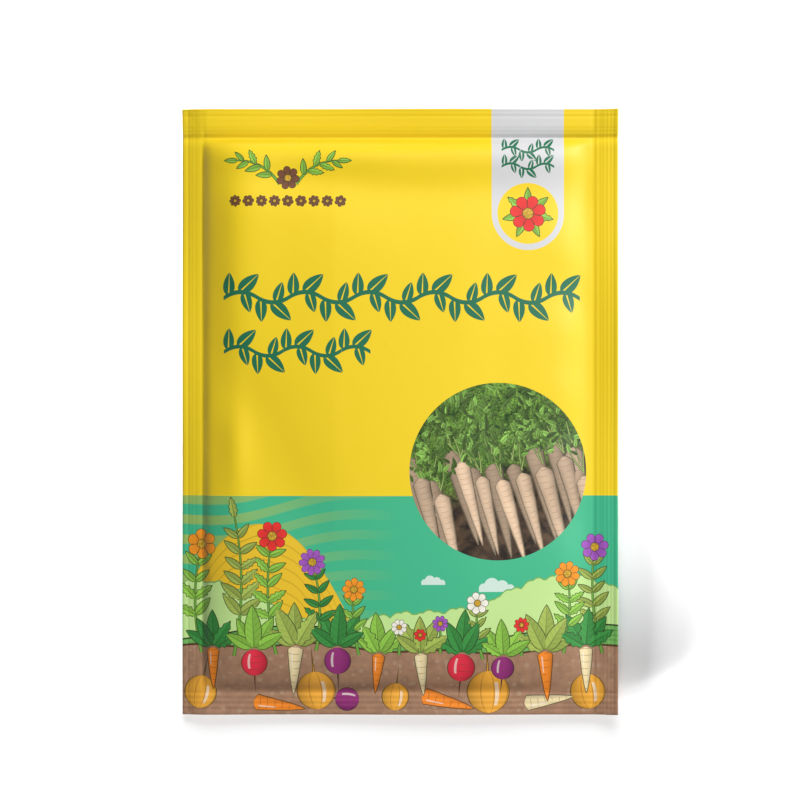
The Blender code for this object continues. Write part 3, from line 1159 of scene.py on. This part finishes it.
def lay_bed(tree, x, y, colour, soil):
    """The bed's soil up to its line, with a dark edge."""
    bed = soil_line(x, Term.sine)
    colour = mix(tree, y < bed, colour, soil)
    return mix(tree, abs(y - bed) < BED_LINE, colour, (0.10, 0.045, 0.02))


def ground_group(inks):
    """What lies behind the drawings: two colours, clouds, hills and the bed."""
    group, (place,) = start_group("ground_ink", PLACE_INPUT, (("Color", "Colour"),))
    x, y, _ = split(group, place)
    streaks = (((y + 1.3 * (x / 7.5).sine() - 0.12 * x) / 4.6).fraction() - 0.5) * 14.0
    streaks = (streaks.shared() * (0.62 - x / 80.0)).highest(0.0)
    sky = mix(group, streaks, inks.band, (0.52, 0.56, 0.05))
    colour = mix(group, y < BAND_TOP, inks.ground, sky)
    colour = lay_clouds(group, x, y, colour)
    colour = lay_hills(group, x, y, colour, inks)
    stone = cells(group, place, 0.42) < 0.24
    soil = mix(group, stone * 0.5, soil_ink(group, place, inks), (0.52, 0.36, 0.24))
    return end_group(group, lay_bed(group, x, y, colour, soil))


def panel_group():
    """The round panel's background, and the window that it makes."""
    outputs = (("Float", "Window"), ("Color", "Colour"))
    group, (place,) = start_group("panel_ink", PLACE_INPUT, outputs)
    x, y, _ = split(group, place)
    away_x, away_y = x - PANEL_CENTRE[0], y - PANEL_CENTRE[1]
    window = hypotenuse(away_x, away_y) < PANEL_RADIUS
    clumps = noise(group, place, 0.34, 4.0, 0.6, 0.4)
    fronds = noise(group, place, 1.5, 5.0, 0.68, 1.6)
    tufts = cells(group, place, 1.6)
    leafy = mix(group, clumps.step_from(0.32, 0.72), (0.025, 0.085, 0.010), (0.27, 0.54, 0.07))
    leafy = shade(group, leafy, (fronds * 3.9 - 1.0 - 0.55 * tufts).highest(0.05))
    earthy = mix(group, clumps.step_from(0.38, 0.66), (0.018, 0.010, 0.006), (0.12, 0.070, 0.038))
    height = (away_y * 0.94 - away_x * 0.34 + 7.0 * (clumps - 0.5)).step_from(-4.0, 3.0)
    return end_group(group, window, mix(group, height, earthy, leafy))


def tab_group(inks):
    """The pale tab that hangs from the top edge, with its disc."""
    group, (place,) = start_group("tab_ink", PLACE_INPUT, INK_OUTPUTS)
    x, y, _ = split(group, place)
    middle = (TAB_LEFT + TAB_RIGHT) / 2
    half = (TAB_RIGHT - TAB_LEFT) / 2
    mask = hypotenuse(x - middle, (TAB_END + half - y).highest(0.0)) < half
    disc = hypotenuse(x - DISC_CENTRE[0], y - DISC_CENTRE[1]) < DISC_RADIUS
    return end_group(group, mask, mix(group, disc, inks.tab, inks.ground))


def finish_group():
    """The satin film's roughness and its slight unevenness, both over the surface."""
    if "film_finish" in bpy.data.node_groups:
        return bpy.data.node_groups["film_finish"]
    outputs = (("Float", "Roughness"), ("Float", "Height"))
    inputs = (("Vector", "Place"), ("Float", "Base"), ("Float", "Spread"))
    group, (place, base, spread) = start_group("film_finish", inputs, outputs)
    smudges = noise(group, place, 0.07, 4.0, 0.6)
    grain = noise(group, place, 2.6, 2.0)
    crinkle = noise(group, place, 0.22, 3.0, 0.45, 0.6)
    roughness = base + (smudges - 0.5) * spread + (grain - 0.5) * 0.04
    return end_group(group, roughness, crinkle + grain * 0.03)


def crease_shade_group(sizes):
    """The film's colour with painted shade: darker along the crease under the top seal."""
    if "pressed_line" in bpy.data.node_groups:
        return bpy.data.node_groups["pressed_line"]
    inputs = (("Vector", "Place"), ("Color", "Ink"))
    group, (place, ink) = start_group("pressed_line", inputs, (("Color", "Colour"),))
    x, y, _ = split(group, place)
    below_top = sizes.height / MM - y
    # painted shade: a darker band in the crease just below the top seal, between the side seals
    line = below_top.step_from(CREASE_SHADE_START, CREASE_SHADE_FULL) * (below_top < CREASE_SHADE_END)
    line = line * x.between(CREASE_SHADE_LEFT, CREASE_SHADE_RIGHT) * CREASE_SHADE_SHARE
    return end_group(group, mix(group, line, ink, shade(group, ink, CREASE_SHADE_FACTOR)))


# Materials

# The films' surfaces: spread of the roughness, and distance and strength of the crinkles
PRINTED_SURFACE = (0.16, 0.06 * MM, 0.5)
INSIDE_SURFACE = (0.10, 0.05 * MM, 0.4)
INSIDE_ROUGHNESS, INSIDE_METALLIC = 0.30, 0.85


def new_material(name):
    """A material with nothing but its Principled shader. Returns it, tree and shader."""
    material = bpy.data.materials.new(name)
    material.use_nodes = True
    tree = material.node_tree
    return material, tree, tree.nodes["Principled BSDF"]


def print_place(tree, sizes):
    """Millimetres from the packet's lower left corner, from the piece's own place."""
    coordinates = tree.nodes.new("ShaderNodeTexCoord")
    mapping = tree.nodes.new("ShaderNodeMapping")
    mapping.inputs["Location"].default_value = (*print_middle(sizes), 0)
    mapping.inputs["Scale"].default_value = (1 / MM, 1 / MM, 1 / MM)
    tree.links.new(coordinates.outputs["Object"], mapping.inputs["Vector"])
    return Term(tree, mapping.outputs[0])


def stored_drawing(tree, name):
    """A layer's stored place on its drawing, and its kind."""
    node = tree.nodes.new("ShaderNodeAttribute")
    node.attribute_name = name
    return Term(tree, node.outputs["Vector"]), Term(tree, node.outputs["Alpha"])


def raise_bumps(tree, shader, height, distance, strength):
    bump = tree.nodes.new("ShaderNodeBump")
    bump.inputs["Distance"].default_value = distance
    bump.inputs["Strength"].default_value = strength
    feed(tree, bump.inputs["Height"], height)
    tree.links.new(bump.outputs["Normal"], shader.inputs["Normal"])


def roughen(tree, shader, place, roughness, surface):
    """The film's uneven roughness and its crinkles, on a shader."""
    spread, distance, strength = surface
    uneven, height = use_group(tree, finish_group(), place, roughness, spread)
    feed(tree, shader.inputs["Roughness"], uneven)
    raise_bumps(tree, shader, height, distance, strength)


def finish_print(tree, shader, sizes, place, colour, finish):
    """Ends a printed film's tree: painted crease shade over its colour, and its satin."""
    (colour,) = use_group(tree, crease_shade_group(sizes), place, colour)
    feed(tree, shader.inputs["Base Color"], colour)
    shader.inputs["Coat Weight"].default_value = finish.coat
    shader.inputs["Coat Roughness"].default_value = finish.coat_roughness
    shader.inputs["Specular IOR Level"].default_value = finish.specular
    roughen(tree, shader, place, finish.roughness, PRINTED_SURFACE)


def front_material(sizes, inks, finish):
    material, tree, shader = new_material("printed_front")
    place = print_place(tree, sizes)
    (colour,) = use_group(tree, ground_group(inks), place)
    window, panel = use_group(tree, panel_group(), place)
    colour = mix(tree, window, colour, panel)
    mask, tab = use_group(tree, tab_group(inks), place)
    colour = mix(tree, mask, colour, tab)
    leaf, root = leaf_group(inks), root_group(inks)
    for name, group in (
        ("back_roots", root),
        ("stems", stem_group(inks)),
        ("low_leaves", leaf),
        ("roots", root),
        ("high_leaves", leaf),
        ("blooms", bloom_group(inks)),
    ):
        spot, kind = stored_drawing(tree, name)
        mask, ink = use_group(tree, group, spot, kind, window)
        colour = mix(tree, mask, colour, ink)
    finish_print(tree, shader, sizes, place, colour, finish)
    return material


def back_material(sizes, inks, finish):
    material, tree, shader = new_material("printed_back")
    place = print_place(tree, sizes)
    x, y, _ = split(tree, place)
    colour = mix(tree, y < BAND_TOP, inks.ground, inks.band)
    colour = lay_bed(tree, x, y, colour, soil_ink(tree, place, inks))
    from_middle = abs(x - BACK_MIDDLE[0])
    across = (from_middle - (BACK_HALF[0] - BACK_CORNER)).highest(0.0)
    up = (abs(y - BACK_MIDDLE[1]) - (BACK_HALF[1] - BACK_CORNER)).highest(0.0)
    reach = hypotenuse(across, up)
    colour = mix(tree, reach < BACK_CORNER, colour, inks.cream)
    outline = abs(reach - BACK_CORNER + OUTLINE_IN) < OUTLINE_HALF
    colour = mix(tree, outline, colour, inks.title)
    rules = ((y / RULE_STEP).fraction() < RULE_SHARE) * (from_middle < RULE_HALF)
    rules = rules * y.between(RULES_FROM, RULES_TO)
    colour = mix(tree, rules * 0.55, colour, inks.title)
    finish_print(tree, shader, sizes, place, colour, finish)
    return material


def inside_material(sizes):
    """The films' unprinted inner side: a metal layer under clear sealing film."""
    material, tree, shader = new_material("film_inside")
    place = print_place(tree, sizes)
    cloud = noise(tree, place, 0.12, 3.0)
    colour = mix(tree, cloud, (0.62, 0.62, 0.61), (0.76, 0.76, 0.74))
    feed(tree, shader.inputs["Base Color"], colour)
    shader.inputs["Metallic"].default_value = INSIDE_METALLIC
    roughen(tree, shader, place, INSIDE_ROUGHNESS, INSIDE_SURFACE)
    return material


def seed_material(sizes):
    """Dry, papery seed: tan in light and dark patches, streaked with oil lines."""
    material, tree, shader = new_material("dry_seed")
    place = print_place(tree, sizes)
    patches = noise(tree, place, 0.9, 3.0)
    streaks = noise(tree, place, 3.2, 4.0, 0.6, 1.2)
    colour = mix(tree, patches, (0.36, 0.22, 0.09), (0.62, 0.45, 0.24))
    colour = mix(tree, streaks.step_from(0.52, 0.66) * 0.7, colour, (0.17, 0.09, 0.035))
    feed(tree, shader.inputs["Base Color"], colour)
    feed(tree, shader.inputs["Roughness"], 0.72 + 0.2 * streaks)
    raise_bumps(tree, shader, streaks, 0.12 * MM, 0.8)
    return material


def floor_material():
    material, tree, shader = new_material("studio_floor")
    coordinates = tree.nodes.new("ShaderNodeTexCoord")
    place = Term(tree, coordinates.outputs["Object"])
    cloud = noise(tree, place, 3.0, 3.0)
    colour = mix(tree, cloud, (0.90, 0.90, 0.90), (0.92, 0.92, 0.92))
    feed(tree, shader.inputs["Base Color"], colour)
    shader.inputs["Roughness"].default_value = 0.9
    return material


# Pieces


def lay_film(sizes, name, heights_on):
    """A film's printed side, on a grid that is fine in the seals."""
    columns = grid_lines(sizes.width, sizes.left_seal, sizes.right_seal)
    rows = grid_lines(sizes.height, sizes.bottom_seal, sizes.top_seal)
    heights = heights_on(sizes, columns, rows)
    film, column, row = add_grid(name, columns, rows)
    set_places(film, columns[column], rows[row], heights[row, column])
    return film


def finish_film(film, sizes, printed):
    """Turns the printed side into a film with an inside of its own."""
    film.data.materials.append(printed)
    film.data.materials.append(inside_material(sizes))
    solid = film.modifiers.new("Film", "SOLIDIFY")
    solid.thickness = sizes.film
    solid.offset = -1.0
    solid.material_offset = 1
    drop_selection()
    film.select_set(True)
    bpy.context.view_layer.objects.active = film
    bpy.ops.object.modifier_apply(modifier=solid.name)
    bpy.ops.object.shade_smooth()


def claim(film, node):
    """Hands a finished film to the frame in place of its CAD node."""
    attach(film, BODY)
    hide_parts(node)


class OBJECT_OT_front_film(bpy.types.Operator):
    """Adds the printed front film, swollen over the seeds"""

    bl_idname = "seed_packet.front_film"
    bl_label = "Front film"

    def execute(self, context):
        scene = context.scene
        sizes = scene.packet_sizes
        film = lay_film(sizes, "front_film", front_heights)
        layers = draw_front()
        for name, fit in (
            ("stems", stem_fit),
            ("low_leaves", leaf_fit),
            ("back_roots", root_fit),
            ("high_leaves", leaf_fit),
            ("roots", root_fit),
            ("blooms", bloom_fit),
        ):
            lay_drawings(film, sizes, name, getattr(layers, name), fit)
        finish_film(film, sizes, front_material(sizes, scene.print_inks, scene.film_finish))
        claim(film, "front_panel")
        return {"FINISHED"}


class OBJECT_OT_back_film(bpy.types.Operator):
    """Adds the printed back film, flat where the packet rests on it"""

    bl_idname = "seed_packet.back_film"
    bl_label = "Back film"

    def execute(self, context):
        scene = context.scene
        sizes = scene.packet_sizes
        film = lay_film(sizes, "back_film", back_heights)
        bpy.ops.object.mode_set(mode="EDIT")
        bpy.ops.mesh.select_all(action="SELECT")
        bpy.ops.mesh.flip_normals()
        bpy.ops.object.mode_set(mode="OBJECT")
        finish_film(film, sizes, back_material(sizes, scene.print_inks, scene.film_finish))
        claim(film, "back_panel")
        return {"FINISHED"}


class OBJECT_OT_seeds(bpy.types.Operator):
    """Gives the sealed-in seeds their dry, streaked finish"""

    bl_idname = "seed_packet.seeds"
    bl_label = "Seeds"

    def execute(self, context):
        material = seed_material(context.scene.packet_sizes)
        for name in SEED_NODES:
            slots = frame["nodes"][name].material_slots
            if not slots:
                raise RuntimeError(f"{name} has no material slot")
            slots[0].material = material
        return {"FINISHED"}


# The studio, in metres and degrees

FLOOR_DROP = 0.02 * MM  # keeps the floor clear of the film that rests on it
KEY_PLACE, KEY_SIZE = (0.683, 0.478, 0.863), 0.25
# Suns that light the floor alone: name, setting of the strength, direction and angle
FLOOR_SUNS = (
    ("high_sun", "high", (0.0, 0.84, 0.54), 35),
    ("low_sun", "low", (-0.800, -0.590, 0.105), 9),
    ("core_sun", "core", (-0.78, -0.575, 0.26), 14),
)
PATCH_PLACE, PATCH_SIZE = (0.060, 0.086, 1.00), 0.02
PATCH_ANGLE, PATCH_BLEND = 16.3, 0.3
SENSOR_WIDTH = 36.0


def add_light(kind, name, place, strength, lit):
    """A light aimed at the packet's middle, that lights one collection alone."""
    bpy.ops.object.light_add(type=kind, location=place)
    light = bpy.context.object
    light.name = name
    light.data.energy = strength
    light.rotation_euler = Vector(place).to_track_quat("Z", "Y").to_euler()
    light.light_linking.receiver_collection = lit
    return light


class OBJECT_OT_studio(bpy.types.Operator):
    """Adds the floor, the lights and the camera that looks down on the packet"""

    bl_idname = "seed_packet.studio"
    bl_label = "Studio"

    def execute(self, context):
        scene = context.scene
        studio = scene.studio_settings
        drop_selection()
        bpy.ops.mesh.primitive_plane_add(size=studio.floor_size, location=(0, 0, -FLOOR_DROP))
        floor = context.object
        floor.name = "floor"
        floor.data.materials.append(floor_material())
        bpy.ops.object.transform_apply(location=True, rotation=True, scale=True)
        world = bpy.data.worlds.new("studio_sky")
        world.use_nodes = True
        background = world.node_tree.nodes["Background"]
        background.inputs["Color"].default_value = (1.0, 1.0, 1.0, 1.0)
        background.inputs["Strength"].default_value = studio.sky
        scene.world = world
        on_packet = bpy.data.collections.new("lit_packet")
        on_floor = bpy.data.collections.new("lit_floor")
        on_floor.objects.link(floor)
        for piece in scene.objects:
            if piece.type == "MESH" and piece != floor:
                on_packet.objects.link(piece)
        key = add_light("AREA", "key_light", KEY_PLACE, studio.key, on_packet)
        key.data.size = KEY_SIZE
        for name, setting, direction, angle in FLOOR_SUNS:
            sun = add_light("SUN", name, direction, getattr(studio, setting), on_floor)
            sun.data.angle = math.radians(angle)
        patch = add_light("SPOT", "patch_light", PATCH_PLACE, studio.patch, on_floor)
        patch.rotation_euler = (0, 0, 0)
        patch.data.spot_size = math.radians(PATCH_ANGLE)
        patch.data.spot_blend = PATCH_BLEND
        patch.data.shadow_soft_size = PATCH_SIZE
        distance = studio.frame_width * studio.lens / SENSOR_WIDTH
        middle_height = scene.packet_sizes.seal_height
        bpy.ops.object.camera_add(location=(0.0, studio.frame_rise, middle_height + distance))
        camera = context.object
        camera.name = "photo_camera"
        camera.data.lens = studio.lens
        camera.data.sensor_width = SENSOR_WIDTH
        camera.data.dof.use_dof = False
        camera.data.clip_start = distance * 0.1
        scene.camera = camera
        scene.view_settings.view_transform = "Standard"
        return {"FINISHED"}


class VIEW3D_PT_seed_packet(bpy.types.Panel):
    """Lists the packet's pieces and settings"""

    bl_label = "Seed Packet"
    bl_space_type = "VIEW_3D"
    bl_region_type = "UI"
    bl_category = "Seed Packet"

    def draw(self, context):
        layout = self.layout
        for operator in OPERATORS:
            layout.operator(operator.bl_idname)
        for name, settings in SETTINGS:
            box = layout.box()
            box.label(text=settings.__name__)
            group = getattr(context.scene, name)
            for prop in settings.__annotations__:
                box.prop(group, prop)


SETTINGS = (
    ("packet_sizes", PacketSizes),
    ("print_inks", PrintInks),
    ("film_finish", FilmFinish),
    ("studio_settings", StudioSettings),
)
OPERATORS = (OBJECT_OT_front_film, OBJECT_OT_back_film, OBJECT_OT_seeds, OBJECT_OT_studio)


def register():
    for name, settings in SETTINGS:
        bpy.utils.register_class(settings)
        setattr(bpy.types.Scene, name, PointerProperty(type=settings))
    for operator in OPERATORS:
        bpy.utils.register_class(operator)
    bpy.utils.register_class(VIEW3D_PT_seed_packet)


def unregister():
    bpy.utils.unregister_class(VIEW3D_PT_seed_packet)
    for operator in reversed(OPERATORS):
        bpy.utils.unregister_class(operator)
    for name, settings in reversed(SETTINGS):
        delattr(bpy.types.Scene, name)
        bpy.utils.unregister_class(settings)


def main():
    register()
    bpy.ops.seed_packet.front_film()
    bpy.ops.seed_packet.back_film()
    bpy.ops.seed_packet.seeds()
    bpy.ops.seed_packet.studio()


if __name__ == "__main__":
    main()
